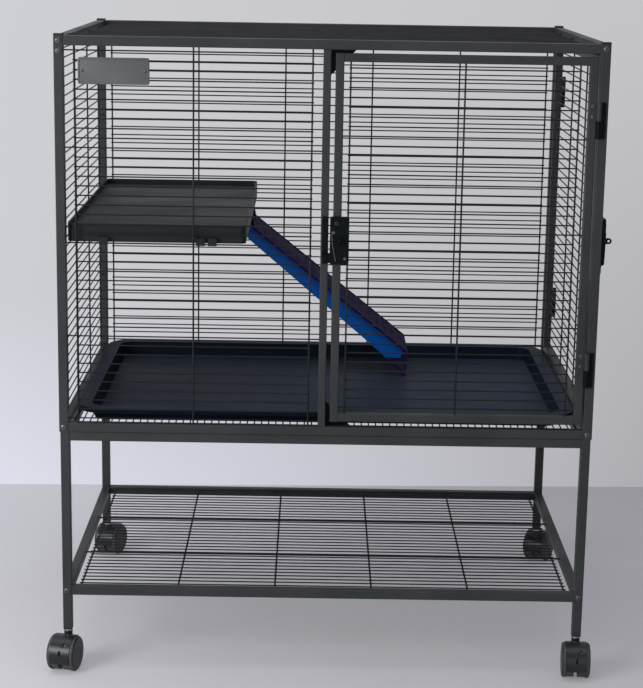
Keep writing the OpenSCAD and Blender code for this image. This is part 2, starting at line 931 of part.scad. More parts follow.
// Keeper: a channel on the latch-side post that the finger turns in behind
module keeper(opening, tail)
  translate([-opening - 1.5, 0, latch_z])
    union() {
      keep_w = 9;
      lip_y = finger_y - finger_t / 2 - loose;
      base_t = 1.5;
      translate([-keep_w, -base_t, -case_h / 2 - tail])
        cube([keep_w, base_t, case_h + tail]);
      translate([-keep_w, lip_y - base_t, -case_h * 0.3])
        cube([base_t, -lip_y + base_t, case_h * 0.7]);
      rotate([90, 0, 0])
        translate([0, 0, -lip_y])
          linear_extrude(height = base_t)
            polygon([[-keep_w, -case_h * 0.3], [0, -case_h * 0.16], [0, case_h * 0.4],
                     [-keep_w, case_h * 0.4]]);
      rotate([90, 0, 0])
        linear_extrude(height = base_t * 2)
          polygon([[-keep_w, -case_h * 0.32], [0, -case_h * 0.32], [-keep_w / 2, -case_h / 2]]);
    }

module latch_keepers()
  color(BLACK) {
    at_front_door()
      keeper(post_in_x - centre_right, 0);
    at_side_door()
      keeper(2 * post_in_y, 11);
  }

module front_door_frame() at_front_door() door_frame(front_door_w);
function spread(w, count, low, high) = [for (i = [0:count - 1]) low + i * (w - low - high) / (count - 1)];
front_xs = spread(front_door_w - 2 * door_tube, 3, 11, 15);
side_xs = spread(side_door_w - 2 * door_tube, 4, 10, 12);

module front_door_wires() at_front_door() door_wires(front_door_w, front_xs);
module front_door_leaves() at_front_door() door_leaves();
module front_latch_case() at_front_door() latch_case(front_door_w);
module front_latch_turn() at_front_door() latch_turn(front_door_w);

module side_door_frame() at_side_door() door_frame(side_door_w);
module side_door_wires() at_side_door() door_wires(side_door_w, side_xs);
module side_door_leaves() at_side_door() door_leaves();
module side_latch_case() at_side_door() latch_case(side_door_w);
module side_latch_turn() at_side_door() latch_turn(side_door_w);

// ---------- casters ----------
// Drawn with the stem on the Z axis and the axle at -Y, then turned and placed.

wheel_r = wheel_d / 2;
stem_d = 8;
axle_d = 6;
socket_flange = 2;
socket_deep = 26;
hood_in = caster_w / 2 - band_w - 0.5;
hood_r = wheel_r + 1.5;
hood_wall = 2.2;
hub_r = hood_r - hood_wall - 0.8;
web_t = 6;
collar_d = 15;
ring_h = 3.5;
collar_top = caster_h - socket_flange - ring_h;

CORNERS = [[-1, -1, turn_fl], [1, -1, turn_fr], [-1, 1, turn_bl], [1, 1, turn_br]];

module at_caster(i)
  translate([CORNERS[i][0] * leg_x, CORNERS[i][1] * leg_y, 0])
    rotate([0, 0, CORNERS[i][2]])
      children();

module caster_sockets()
  color(BLACK)
    for (c = CORNERS)
      translate([c[0] * leg_x, c[1] * leg_y, caster_h])
        difference() {
          union() {
            translate([0, 0, -socket_flange])
              linear_extrude(height = socket_flange)
                rounded(tube_w, tube_w, tube_r);
            plug_w = tube_w - 2 * tube_wall - 0.2;
            translate([0, 0, -weld])
              linear_extrude(height = socket_deep + weld)
                rounded(plug_w, plug_w, tube_r - tube_wall);
          }
          translate([0, 0, -socket_flange - 1])
            cylinder(d = stem_d + 2 * running, h = socket_deep - 2);
        }

// Part ring about the axle from angle a0 to a1, counted from the top
// towards the side away from the stem
module about_axle(r1, r0, w, a0, a1)
  translate([-w / 2, -trail, wheel_r])
    rotate([0, 90, 0])
      rotate([0, 0, 180 + a0])
        rotate_extrude(angle = a1 - a0)
          translate([r0, 0])
            square([r1 - r0, w]);

module axle_rod(r, w)
  translate([0, -trail, wheel_r])
    rotate([0, 90, 0])
      cylinder(r = r, h = w, center = true);

// Hood: a fender over both wheels, closed web, axle boss and stem collar
stem_deep = 8;
boss_proud = 0.3;
hood_front = 110;
hood_back = -104;
module hood(i) {
  slot_w = 3.4;
  slot_h = 9;
  slot_z = wheel_r + 9.3;
  slot_deep = 7;
  slot_x = 0.6;
  dent_x = 7.2;
  dent_z = wheel_r + 22.5;
  dent_deep = hood_wall + 1;
  inner = hood_r - hood_wall;
  color(BLACK)
    at_caster(i)
      difference() {
        union() {
          about_axle(hood_r, inner, 2 * hood_in, hood_back, hood_front);
          about_axle(inner + weld, axle_d / 2 + 2, web_t, hood_back + 2, hood_front - 2);
          axle_rod(axle_d / 2 + 3.5, web_t + boss_proud * 2);
          difference() {
            cylinder(d = collar_d, h = collar_top);
            axle_rod(inner + hood_wall / 2, 2 * collar_d);
            translate([0, 0, -1])
              cylinder(d = 2 * collar_d, h = wheel_r + 1);
          }
        }
        axle_rod(axle_d / 2 + running, caster_w);
        translate([0, 0, collar_top - stem_deep])
          cylinder(d = stem_d + 2 * running, h = stem_deep + 1);
        translate([slot_x - slot_w / 2, -trail - hood_r - 1, slot_z - slot_h / 2])
          cube([slot_w, slot_deep + 1, slot_h]);
        difference() {
          translate([dent_x, -trail - hood_r, dent_z])
            rotate([-90, 0, 0])
              linear_extrude(height = hood_r)
                polygon([[-5, 3.2], [5, 3.2], [1.6, -2.6], [0, -3.2], [-1.6, -2.6]]);
          axle_rod(hood_r - dent_deep, caster_w);
        }
      }
}

// Steel stem with its ring, and the axle
module pins(i)
  color(STEEL)
    at_caster(i) {
      union() {
        translate([0, 0, collar_top - stem_deep + loose])
          cylinder(d = stem_d, h = stem_deep - loose + ring_h + socket_flange + socket_deep - 6);
        translate([0, 0, collar_top])
          cylinder(d = 13, h = ring_h - seat);
      }
      axle_rod(axle_d / 2, caster_w - 6);
    }

// Corner points of a rounded shoulder, from the tread to the flat face
function shoulder(r, x, round_r) =
  [for (a = [0:18:90]) [r - round_r + round_r * cos(a), x - round_r + round_r * sin(a)]];

// Twin wheel: tread band outside, smaller hub under the hood
shoulder_r = 5;
cap_r = 11;
module wheel(i, side)
  color(BLACK)
    at_caster(i)
      translate([0, -trail, wheel_r])
        rotate([0, side * 90, 0])
          rotate_extrude()
            difference() {
              polygon(concat(
                [[0, web_t / 2 + 0.6], [hub_r, web_t / 2 + 0.6], [hub_r, hood_in + 0.3],
                 [wheel_r, hood_in + 0.3]],
                shoulder(wheel_r, caster_w / 2, shoulder_r),
                [[cap_r + 1.2, caster_w / 2], [cap_r + 0.6, caster_w / 2 - 0.8],
                 [cap_r, caster_w / 2], [0, caster_w / 2]]));
              square([axle_d / 2 + running, caster_w / 2 - 2]);
            }

module hood_front_left() hood(0);
module hood_front_right() hood(1);
module hood_back_left() hood(2);
module hood_back_right() hood(3);
module pins_front_left() pins(0);
module pins_front_right() pins(1);
module pins_back_left() pins(2);
module pins_back_right() pins(3);

leg_front_left();
leg_front_right();
leg_back_left();
leg_back_right();
stand_top_rails();
shelf_rails();
shelf_grille();
stand_bolts();
post_front_left();
post_front_right();
post_back_left();
post_back_right();
base_rails();
top_rails();
centre_post();
front_wires();
back_wires();
left_wires();
roof_wires();
floor_grille();
post_caps();
door_stops();
frame_bolts();
platform();
tray();
tray_rim();
ramp();
ramp_side_panels();
fixed_hinge_leaves();
latch_keepers();
caster_sockets();
front_door_frame();
front_door_wires();
front_door_leaves();
front_latch_case();
front_latch_turn();
side_door_frame();
side_door_wires();
side_door_leaves();
side_latch_case();
side_latch_turn();
hood_front_left();
hood_front_right();
hood_back_left();
hood_back_right();
pins_front_left();
pins_front_right();
pins_back_left();
pins_back_right();
wheel(0, -1);  // wheel_front_left_a
wheel(0, 1);  // wheel_front_left_b
wheel(1, -1);  // wheel_front_right_a
wheel(1, 1);  // wheel_front_right_b
wheel(2, -1);  // wheel_back_left_a
wheel(2, 1);  // wheel_back_left_b
wheel(3, -1);  // wheel_back_right_a
wheel(3, 1);  // wheel_back_right_b
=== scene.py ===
"""A wheeled wire pet cage, dressed and lit.

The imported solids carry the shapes. This script gives them their finishes, adds
the small fixings and the bare plate, and sets the room, the lights and the view.
All lengths are metres: +X right, -Y front, +Z up.
"""
import logging
import math
from dataclasses import dataclass, field
from enum import Enum
from typing import Callable, Iterable, Sequence

import bmesh
import bpy
from mathutils import Matrix, Vector


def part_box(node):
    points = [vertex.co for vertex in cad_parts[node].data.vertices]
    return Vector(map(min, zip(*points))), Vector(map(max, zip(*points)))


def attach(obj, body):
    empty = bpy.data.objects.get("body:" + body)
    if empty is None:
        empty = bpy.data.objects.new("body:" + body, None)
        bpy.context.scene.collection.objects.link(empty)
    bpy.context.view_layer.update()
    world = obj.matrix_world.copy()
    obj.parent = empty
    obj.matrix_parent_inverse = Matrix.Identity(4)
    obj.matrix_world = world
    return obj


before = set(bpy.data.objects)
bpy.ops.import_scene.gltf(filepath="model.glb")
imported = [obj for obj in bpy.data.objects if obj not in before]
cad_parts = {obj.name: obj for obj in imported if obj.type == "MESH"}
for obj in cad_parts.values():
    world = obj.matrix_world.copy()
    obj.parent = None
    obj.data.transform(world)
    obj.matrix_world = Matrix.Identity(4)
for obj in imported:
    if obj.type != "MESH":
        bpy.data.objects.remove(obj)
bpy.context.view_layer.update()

LOG = logging.getLogger("cage")
MM = 0.001
SAME_POINT = 1e-7
SAME_HEIGHT = 1e-9
Colour = tuple[float, float, float]
Point = tuple[float, float, float]
Spot = tuple[float, float]


def scaled(colour: Colour, gain: float) -> Colour:
    """A colour with its three parts multiplied by the gain."""
    return tuple(part * gain for part in colour)


# ---------------------------------------------------------------- shader maths

class Signal:
    """A number on a socket. Arithmetic on it adds Math nodes."""

    def __init__(self, shade: "Shade", socket: bpy.types.NodeSocket) -> None:
        """Wraps a socket.

        Args:
            shade: the node tree that the socket is in.
            socket: the output that carries the number.
        """
        self.shade = shade
        self.socket = socket

    def math(self, operation: str, *others: "Signal | float", clamp: bool = False) -> "Signal":
        """Adds one Math node that starts from this signal.

        Args:
            operation: the Math node's operation.
            others: the second and third operands.
            clamp: whether the result is held between 0 and 1.

        Returns:
            The node's result.
        """
        return self.shade.math(operation, self, *others, clamp=clamp)

    def __add__(self, other: "Signal | float") -> "Signal":
        """self + other."""
        return self.math("ADD", other)

    __radd__ = __add__

    def __mul__(self, other: "Signal | float") -> "Signal":
        """self * other."""
        return self.math("MULTIPLY", other)

    __rmul__ = __mul__

    def __sub__(self, other: "Signal | float") -> "Signal":
        """self - other."""
        return self.math("SUBTRACT", other)

    def __rsub__(self, other: float) -> "Signal":
        """other - self."""
        return self.shade.math("SUBTRACT", other, self)

    def ramp(self, low: float, high: float, to_low: float = 0.0, to_high: float = 1.0) -> "Signal":
        """Rescales this signal, clamped.

        Args:
            low: the value that becomes to_low.
            high: the value that becomes to_high.
            to_low: the result at and below low.
            to_high: the result at and above high.

        Returns:
            The rescaled signal.
        """
        node = self.shade.node("ShaderNodeMapRange", {"clamp": True}, {
            "Value": self, "From Min": low, "From Max": high, "To Min": to_low, "To Max": to_high})
        return Signal(self.shade, node.outputs["Result"])


class Shade:
    """One material's node tree."""

    MIX_FACTOR, MIX_FIRST, MIX_SECOND, MIX_RESULT = 0, 6, 7, 2

    def __init__(self, name: str) -> None:
        """Makes an empty material.

        Args:
            name: the material's name.
        """
        self.material = bpy.data.materials.new(name)
        self.material.use_nodes = True
        self.tree = self.material.node_tree
        self.tree.nodes.clear()

    def node(self, kind: str, settings: dict[str, object] | None = None,
             inputs: dict[str | int, object] | None = None) -> bpy.types.Node:
        """Adds a node.

        Args:
            kind: the node's type.
            settings: the node's own properties, which are set first.
            inputs: socket name or number to value, socket or signal.

        Returns:
            The node.
        """
        made = self.tree.nodes.new(kind)
        for key, value in (settings or {}).items():
            setattr(made, key, value)
        for key, value in (inputs or {}).items():
            self.feed(made.inputs[key], value)
        return made

    def feed(self, socket: bpy.types.NodeSocket, value: object) -> None:
        """Links or sets one input.

        Args:
            socket: the input.
            value: a signal, an output socket, a number or a colour.
        """
        if isinstance(value, Signal):
            value = value.socket
        if isinstance(value, bpy.types.NodeSocket):
            self.tree.links.new(value, socket)
        elif isinstance(value, tuple) and socket.type == "RGBA":
            socket.default_value = (*value, 1.0)
        else:
            socket.default_value = value

    def math(self, operation: str, *operands: Signal | float, clamp: bool = False) -> Signal:
        """Adds one Math node and returns its result.

        Args:
            operation: the Math node's operation.
            operands: signals or numbers, in the node's order.
            clamp: whether the result is held between 0 and 1.

        Returns:
            The node's result.
        """
        made = self.node("ShaderNodeMath", {"operation": operation, "use_clamp": clamp},
                         dict(enumerate(operands)))
        return Signal(self, made.outputs[0])

    def mix(self, factor: Signal | float, first: object, second: object) -> bpy.types.NodeSocket:
        """Mixes two colours.

        Args:
            factor: 0 gives the first and 1 the second.
            first: a colour or a socket.
            second: a colour or a socket.

        Returns:
            The mixed colour's socket.
        """
        made = self.node("ShaderNodeMix", {"data_type": "RGBA"}, {
            self.MIX_FACTOR: factor, self.MIX_FIRST: first, self.MIX_SECOND: second})
        return made.outputs[self.MIX_RESULT]

    def blend(self, factor: Signal | bpy.types.NodeSocket, first: bpy.types.Node,
              second: bpy.types.Node) -> bpy.types.Node:
        """Mixes two surface shaders.

        Args:
            factor: 0 gives the first and 1 the second.
            first: a shader node.
            second: a shader node.

        Returns:
            The Mix Shader node.
        """
        return self.node("ShaderNodeMixShader", {}, {0: factor, 1: first.outputs[0],
                                                     2: second.outputs[0]})

    def place(self) -> bpy.types.NodeSocket:
        """The point on the object in its own metres."""
        return self.node("ShaderNodeTexCoord").outputs["Object"]

    def stretched(self, scale: Point) -> bpy.types.NodeSocket:
        """The point on the object, scaled by axis.

        Args:
            scale: the three factors.

        Returns:
            The scaled point's socket.
        """
        made = self.node("ShaderNodeVectorMath", {"operation": "MULTIPLY"},
                         {0: self.place(), 1: scale})
        return made.outputs[0]

    def axis(self, name: str) -> Signal:
        """One coordinate of the point on the object.

        Args:
            name: X, Y or Z.

        Returns:
            The coordinate in metres.
        """
        made = self.node("ShaderNodeSeparateXYZ", {}, {0: self.place()})
        return Signal(self, made.outputs[name])

    def facing(self, name: str) -> Signal:
        """One part of the surface's direction, from -1 to 1.

        Args:
            name: X, Y or Z.

        Returns:
            The part as a signal.
        """
        normal = self.node("ShaderNodeNewGeometry").outputs["True Normal"]
        made = self.node("ShaderNodeSeparateXYZ", {}, {0: normal})
        return Signal(self, made.outputs[name])

    def leaning(self, name: str) -> Signal:
        """One part of the surface's direction on the unmoved object, from -1 to 1.

        Args:
            name: X, Y or Z.

        Returns:
            The part as a signal.
        """
        normal = self.node("ShaderNodeTexCoord").outputs["Normal"]
        made = self.node("ShaderNodeSeparateXYZ", {}, {0: normal})
        return Signal(self, made.outputs[name])

    def noise(self, scale: float, detail: float = 3.0, roughness: float = 0.5,
              stretch: Point = (1.0, 1.0, 1.0)) -> Signal:
        """Cloudy variation about 0.5.

        Args:
            scale: blobs to the metre.
            detail: octaves.
            roughness: weight of the finer octaves.
            stretch: factors on the three axes.

        Returns:
            The variation.
        """
        made = self.node("ShaderNodeTexNoise", {"noise_dimensions": "3D"}, {
            "Vector": self.stretched(stretch), "Scale": scale, "Detail": detail,
            "Roughness": roughness})
        return Signal(self, made.outputs[0])

    def bump(self, height: Signal, depth: float) -> bpy.types.NodeSocket:
        """Turns a height into a normal.

        Args:
            height: the relief, about 0 to 1.
            depth: its real depth in metres.

        Returns:
            The normal's socket.
        """
        made = self.node("ShaderNodeBump", {}, {"Height": height, "Strength": 1.0,
                                                "Distance": depth})
        return made.outputs[0]

    def close(self, shader: bpy.types.Node) -> bpy.types.Material:
        """Links a surface shader to the output and returns the material."""
        self.node("ShaderNodeOutputMaterial", {}, {"Surface": shader.outputs[0]})
        return self.material

    def finish(self, **inputs: object) -> bpy.types.Material:
        """Adds the surface shader and the output.

        Args:
            inputs: socket names, with _ for a space, to values.

        Returns:
            The finished material.
        """
        named = {key.replace("_", " "): value for key, value in inputs.items()}
        return self.close(self.node("ShaderNodeBsdfPrincipled", {}, named))


# -------------------------------------------------------------------- finishes

@dataclass(frozen=True)
class PowderCoat:
    """Baked powder coat: fine orange peel, faint clouding and a few dull rubs."""

    name: str
    colour: Colour
    cloud: Colour
    sheen_low: float = 0.36
    sheen_high: float = 0.5
    peel: float = 900.0
    depth: float = 0.00006
    specular: float = 0.3
    speck_size: float = 0.7
    speck_share: float = 0.16
    speck_gain: float = 1.9
    rub_dulling: float = 0.12
    speck_dulling: float = 0.05

    def make(self) -> bpy.types.Material:
        """Builds the material.

        Returns:
            The material, with this finish's nodes.
        """
        shade = Shade(self.name)
        cloud = shade.noise(scale=9.0, detail=4.0).ramp(0.35, 0.68)
        speck = shade.noise(scale=self.peel * self.speck_size, detail=2.0).ramp(0.42, 0.62)
        peel = shade.noise(scale=self.peel, detail=2.0, roughness=0.6)
        rub = shade.noise(scale=34.0, detail=6.0, roughness=0.7).ramp(0.6, 0.72)
        colour = shade.mix(cloud, self.colour, self.cloud)
        colour = shade.mix(speck * self.speck_share, colour, scaled(self.colour, self.speck_gain))
        rough = cloud.ramp(0.0, 1.0, self.sheen_low, self.sheen_high)
        rough = rough + rub * self.rub_dulling + (speck - 0.5) * self.speck_dulling
        return shade.finish(Base_Color=colour, Roughness=rough,
                            Normal=shade.bump(peel, self.depth),
                            Specular_IOR_Level=self.specular)


@dataclass(frozen=True)
class Moulded:
    """Moulded plastic: mould grain, flow marks, light dust and an optional painted reflection on
    upward faces, and scuffs.
    """

    name: str
    colour: Colour
    worn: Colour
    gloss_low: float
    gloss_high: float
    grain: float = 700.0
    depth: float = 0.00008
    dust: float = 0.0
    scuff: float = 0.5
    specular: float = 0.4
    level: Colour | None = None
    dust_colour: Colour = (0.22, 0.22, 0.21)
    flow_share: float = 0.55
    scratch_gain: float = 2.2
    scratch_dulling: float = 0.2
    dust_dulling: float = 0.5

    def make(self) -> bpy.types.Material:
        """Builds the material.

        Returns:
            The material, with this finish's nodes.
        """
        shade = Shade(self.name)
        flow = shade.noise(scale=5.0, detail=3.0, roughness=0.55, stretch=(1.0, 2.2, 1.0))
        flow = flow.ramp(0.36, 0.66)
        grain = shade.noise(scale=self.grain, detail=2.0, roughness=0.6)
        hair = shade.noise(scale=60.0, detail=5.0, roughness=0.75, stretch=(0.3, 2.6, 1.0))
        scratch = hair.ramp(0.62, 0.7) * shade.noise(scale=7.0, detail=2.0).ramp(0.45, 0.6)
        up = shade.facing("Z").ramp(0.6, 1.0)
        patch = shade.noise(scale=26.0, detail=5.0, roughness=0.6).ramp(0.4, 0.75)
        settle = up * patch * self.dust
        colour = shade.mix(flow * self.flow_share, self.colour, self.worn)
        # Painted reflection: upward faces can take a lighter colour that stands in for the pale
        # room reflected in them.
        if self.level is not None:
            colour = shade.mix(up * (flow * 0.3 + 0.7), colour, self.level)
        colour = shade.mix(scratch * (self.scuff * 0.5), colour,
                           scaled(self.worn, self.scratch_gain))
        colour = shade.mix(settle, colour, self.dust_colour)
        rough = flow.ramp(0.0, 1.0, self.gloss_low, self.gloss_high)
        rough = rough + scratch * (self.scratch_dulling * self.scuff) + settle * self.dust_dulling
        return shade.finish(Base_Color=colour, Roughness=rough,
                            Normal=shade.bump(grain, self.depth),
                            Specular_IOR_Level=self.specular)


@dataclass(frozen=True)
class Rolled:
    """Wheel plastic: smooth dark sides and a dull tread grey with dust and grit."""

    name: str
    side: Colour = (0.003, 0.004, 0.005)
    tread: Colour = (0.06, 0.064, 0.066)
    dust: Colour = (0.2, 0.2, 0.195)
    grit_share: float = 0.34
    scrape_share: float = 0.22
    side_rough: float = 0.36
    tread_dulling: float = 0.22
    grit_dulling: float = 0.1
    depth: float = 0.00012

    def make(self) -> bpy.types.Material:
        """Builds the material.

        Returns:
            The material, with this finish's nodes.
        """
        shade = Shade(self.name)
        across = shade.leaning("X")
        round_it = (1.0 - across * across).ramp(0.35, 0.9)
        cloud = shade.noise(scale=55.0, detail=4.0, roughness=0.6).ramp(0.35, 0.68)
        grit = shade.noise(scale=900.0, detail=2.0, roughness=0.7).ramp(0.5, 0.7)
        scrape = shade.noise(scale=120.0, detail=4.0, roughness=0.7, stretch=(0.4, 2.4, 2.4))
        scrape = scrape.ramp(0.56, 0.68)
        colour = shade.mix(round_it * (cloud * 0.5 + 0.5), self.side, self.tread)
        dusty = grit * self.grit_share + scrape * self.scrape_share
        colour = shade.mix(round_it * dusty * (cloud * 0.7 + 0.3), colour, self.dust)
        rough = round_it * self.tread_dulling + self.side_rough + grit * self.grit_dulling
        return shade.finish(Base_Color=colour, Roughness=rough,
                            Normal=shade.bump(grit + cloud * 0.5, self.depth),
                            Specular_IOR_Level=0.3)


@dataclass(frozen=True)
class PaintedShadeSheet:
    """Moulded side sheet whose colour darkens towards its upper edge: painted shade under the
    deck's edge.
    """

    name: str
    colour: Colour
    painted_shade: Colour
    slope: Point
    start: float
    end: float
    waver: float = 0.006
    flow_share: float = 0.3
    flow_gain: float = 1.5
    gloss: float = 0.38
    depth: float = 0.00006

    def make(self) -> bpy.types.Material:
        """Builds the material.

        Returns:
            The material, with this finish's nodes.
        """
        shade = Shade(self.name)
        flow = shade.noise(scale=9.0, detail=3.0, roughness=0.55).ramp(0.36, 0.66)
        across = shade.axis("X") * self.slope[0] + shade.axis("Z") * self.slope[2]
        # Painted shade: the sheet darkens towards its upper edge, under the deck.
        high = (across + (flow - 0.5) * self.waver).ramp(self.start, self.end)
        colour = shade.mix(high, self.colour, self.painted_shade)
        colour = shade.mix(flow * self.flow_share, colour, scaled(self.colour, self.flow_gain))
        grain = shade.noise(scale=800.0, detail=2.0, roughness=0.6)
        return shade.finish(Base_Color=colour, Roughness=flow * 0.1 + self.gloss,
                            Normal=shade.bump(grain, self.depth), Specular_IOR_Level=0.08)


@dataclass(frozen=True)
class Plated:
    """Zinc plated steel with turning marks and a dull bloom."""

    name: str
    colour: Colour = (0.55, 0.56, 0.58)
    bloom_gain: float = 0.62
    gloss_low: float = 0.24
    gloss_high: float = 0.42
    depth: float = 0.00002

    def make(self) -> bpy.types.Material:
        """Builds the material.

        Returns:
            The material, with this finish's nodes.
        """
        shade = Shade(self.name)
        lines = shade.noise(scale=160.0, detail=3.0, roughness=0.6, stretch=(1.0, 1.0, 9.0))
        bloom = shade.noise(scale=80.0, detail=4.0).ramp(0.4, 0.7)
        colour = shade.mix(bloom * 0.5, self.colour, scaled(self.colour, self.bloom_gain))
        rough = bloom.ramp(0.0, 1.0, self.gloss_low, self.gloss_high) + (lines - 0.5) * 0.1
        return shade.finish(Base_Color=colour, Metallic=1.0, Roughness=rough,
                            Normal=shade.bump(lines, self.depth))


class Finish(Enum):
    """The object's finishes."""

    FRAME = PowderCoat("frame_coat", (0.031, 0.034, 0.035), (0.023, 0.026, 0.027),
                       sheen_low=0.42, sheen_high=0.56, specular=0.16)
    WIRE = PowderCoat("wire_coat", (0.007, 0.007, 0.009), (0.004, 0.004, 0.005),
                      sheen_low=0.4, sheen_high=0.54, peel=1500.0, depth=0.00003, specular=0.22)
    BLACK_METAL = PowderCoat("fitting_coat", (0.0035, 0.006, 0.0075), (0.002, 0.004, 0.005),
                             sheen_low=0.3, sheen_high=0.46, peel=1100.0, depth=0.00004,
                             specular=0.06)
    # The bolt finish is a lighter grey than the black fixings it stands for: partly a painted
    # highlight.
    BOLT = PowderCoat("bolt_black", (0.045, 0.047, 0.049), (0.022, 0.023, 0.024),
                      sheen_low=0.28, sheen_high=0.4, peel=1200.0, depth=0.00003, specular=0.7)
    PLATE = PowderCoat("plate_coat", (0.068, 0.074, 0.072), (0.1, 0.105, 0.103),
                       sheen_low=0.38, sheen_high=0.5)
    CAP = Moulded("cap_plastic", (0.008, 0.008, 0.009), (0.014, 0.014, 0.015),
                  gloss_low=0.42, gloss_high=0.6, specular=0.25)
    CASTER = Moulded("caster_plastic", (0.008, 0.010, 0.013), (0.017, 0.020, 0.023),
                     gloss_low=0.28, gloss_high=0.4, grain=900.0, depth=0.00005, dust=0.05,
                     specular=0.35)
    PLATFORM = Moulded("platform_plastic", (0.010, 0.013, 0.013), (0.017, 0.019, 0.018),
                       gloss_low=0.44, gloss_high=0.58, grain=800.0, depth=0.0001, dust=0.03,
                       specular=0.12)
    # The tray's lighter upward faces are a painted reflection of the pale room.
    TRAY = Moulded("tray_plastic", (0.004, 0.008, 0.013), (0.008, 0.012, 0.018),
                   gloss_low=0.34, gloss_high=0.46, grain=420.0, depth=0.00004,
                   specular=0.012, level=(0.024, 0.032, 0.049))
    RAMP = Moulded("ramp_purple", (0.011, 0.007, 0.036), (0.015, 0.009, 0.046),
                   gloss_low=0.5, gloss_high=0.62, grain=800.0, depth=0.0001, scuff=0.2,
                   specular=0.01)
    RAMP_SIDE = PaintedShadeSheet("ramp_blue", (0.0002, 0.06, 0.27), (0.003, 0.014, 0.07),
                      slope=(0.6225, 0.0, 0.7826), start=0.466, end=0.480)
    TREAD = Rolled("wheel_plastic")
    STEEL = Plated("zinc_steel", (0.66, 0.67, 0.69))


class Wardrobe:
    """Makes each finish once and puts it on pieces."""

    def __init__(self) -> None:
        """Starts with no finish made."""
        self.made: dict[Finish, bpy.types.Material] = {}

    def material(self, finish: Finish) -> bpy.types.Material:
        """The material of a finish, made when first asked for.

        Args:
            finish: the finish.

        Returns:
            Its material.
        """
        if finish not in self.made:
            self.made[finish] = finish.value.make()
        return self.made[finish]

    def dress(self, names: Iterable[str], finish: Finish) -> None:
        """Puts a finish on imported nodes.

        Args:
            names: the nodes' names.
            finish: what they get.
        """
        for name in names:
            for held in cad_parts[name].material_slots:
                held.material = self.material(finish)
            LOG.info("dressed %s in %s", name, finish.value.name)

    def cover(self, piece: bpy.types.Object, finish: Finish) -> bpy.types.Object:
        """Puts a finish on a new piece.

        Args:
            piece: the piece.
            finish: what it gets.

        Returns:
            The same piece.
        """
        piece.data.materials.clear()
        piece.data.materials.append(self.material(finish))
        return piece


# ----------------------------------------------------------------- mesh making

def add_piece(name: str, mesh: bpy.types.Mesh, where: Matrix | None = None) -> bpy.types.Object:
    """Links a mesh into the scene.

    Args:
        name: the piece's name.
        mesh: its mesh.
        where: its place, or none for the origin.

    Returns:
        The object.
    """
    piece = bpy.data.objects.new(name, mesh)
    bpy.context.scene.collection.objects.link(piece)
    if where is not None:
        piece.matrix_world = where
    return piece


def close_mesh(name: str, shape: bmesh.types.BMesh, smooth_below: float = 0.6) -> bpy.types.Mesh:
    """Turns a bmesh into a mesh with smooth faces and sharp edges.

    Args:
        name: the mesh's name.
        shape: the bmesh, which is freed.
        smooth_below: edges that turn more than this many radians stay sharp.

    Returns:
        The mesh.
    """
    bmesh.ops.remove_doubles(shape, verts=shape.verts, dist=SAME_POINT)
    bmesh.ops.recalc_face_normals(shape, faces=shape.faces)
    for face in shape.faces:
        face.smooth = True
    for edge in shape.edges:
        edge.smooth = len(edge.link_faces) == 2 and edge.calc_face_angle(0.0) < smooth_below
    mesh = bpy.data.meshes.new(name)
    shape.to_mesh(mesh)
    shape.free()
    return mesh


def lathe(profile: Sequence[Spot], steps: int) -> bmesh.types.BMesh:
    """Turns a profile about Z.

    Args:
        profile: radius and height pairs, from the bottom up; the ends lie on the axis.
        steps: how many flats go round.

    Returns:
        The closed shape.
    """
    shape = bmesh.new()
    line = [shape.verts.new((r, 0.0, z)) for r, z in profile]
    edges = [shape.edges.new(pair) for pair in zip(line, line[1:])]
    bmesh.ops.spin(shape, geom=line + edges, cent=(0, 0, 0), axis=(0, 0, 1), dvec=(0, 0, 0),
                   angle=2 * math.pi, steps=steps, use_duplicate=False)
    bmesh.ops.remove_doubles(shape, verts=shape.verts, dist=SAME_POINT)
    return shape


def slab(outline: Sequence[Spot], thick: float, bevel: float = 0.0,
         segments: int = 2) -> bmesh.types.BMesh:
    """Extrudes an outline up Z from 0, with its upper edge rounded.

    Args:
        outline: the corners in XY.
        thick: the height.
        bevel: the rounding of the upper edge.
        segments: how many steps the rounding has.

    Returns:
        The closed shape.
    """
    shape = bmesh.new()
    base = shape.faces.new([shape.verts.new((x, y, 0.0)) for x, y in outline])
    grown = bmesh.ops.extrude_face_region(shape, geom=[base])
    top = [v for v in grown["geom"] if isinstance(v, bmesh.types.BMVert)]
    bmesh.ops.translate(shape, verts=top, vec=(0, 0, thick))
    if bevel > 0:
        rim = [edge for edge in shape.edges
               if all(abs(v.co.z - thick) < SAME_HEIGHT for v in edge.verts)]
        bmesh.ops.bevel(shape, geom=rim, offset=bevel, segments=segments, affect="EDGES",
                        profile=0.5)
    return shape


def rounded_corners(wide: float, high: float, radius: float, steps: int = 5) -> list[Spot]:
    """The outline of a rounded oblong about the origin.

    Args:
        wide: its width.
        high: its height.
        radius: its corners' radius.
        steps: how many steps each corner has.

    Returns:
        The corners' points in order.
    """
    points = []
    for quarter, (sx, sy) in enumerate(((1, 1), (-1, 1), (-1, -1), (1, -1))):
        for i in range(steps + 1):
            turn = (quarter + i / steps) * math.pi / 2
            points.append((sx * (wide / 2 - radius) + radius * math.cos(turn),
                           sy * (high / 2 - radius) + radius * math.sin(turn)))
    return points


def cut(shape: bpy.types.Mesh, tool: bpy.types.Mesh) -> bpy.types.Mesh:
    """Takes one closed mesh out of another.

    Args:
        shape: the mesh that stays.
        tool: the mesh that is taken out.

    Returns:
        The cut mesh.
    """
    body, cutter = add_piece("cutting", shape), add_piece("cutter", tool)
    step = body.modifiers.new("cut", "BOOLEAN")
    step.operation = "DIFFERENCE"
    step.solver = "EXACT"
    step.object = cutter
    graph = bpy.context.evaluated_depsgraph_get()
    result = bpy.data.meshes.new_from_object(body.evaluated_get(graph))
    for spare in (body, cutter):
        bpy.data.objects.remove(spare)
    return result


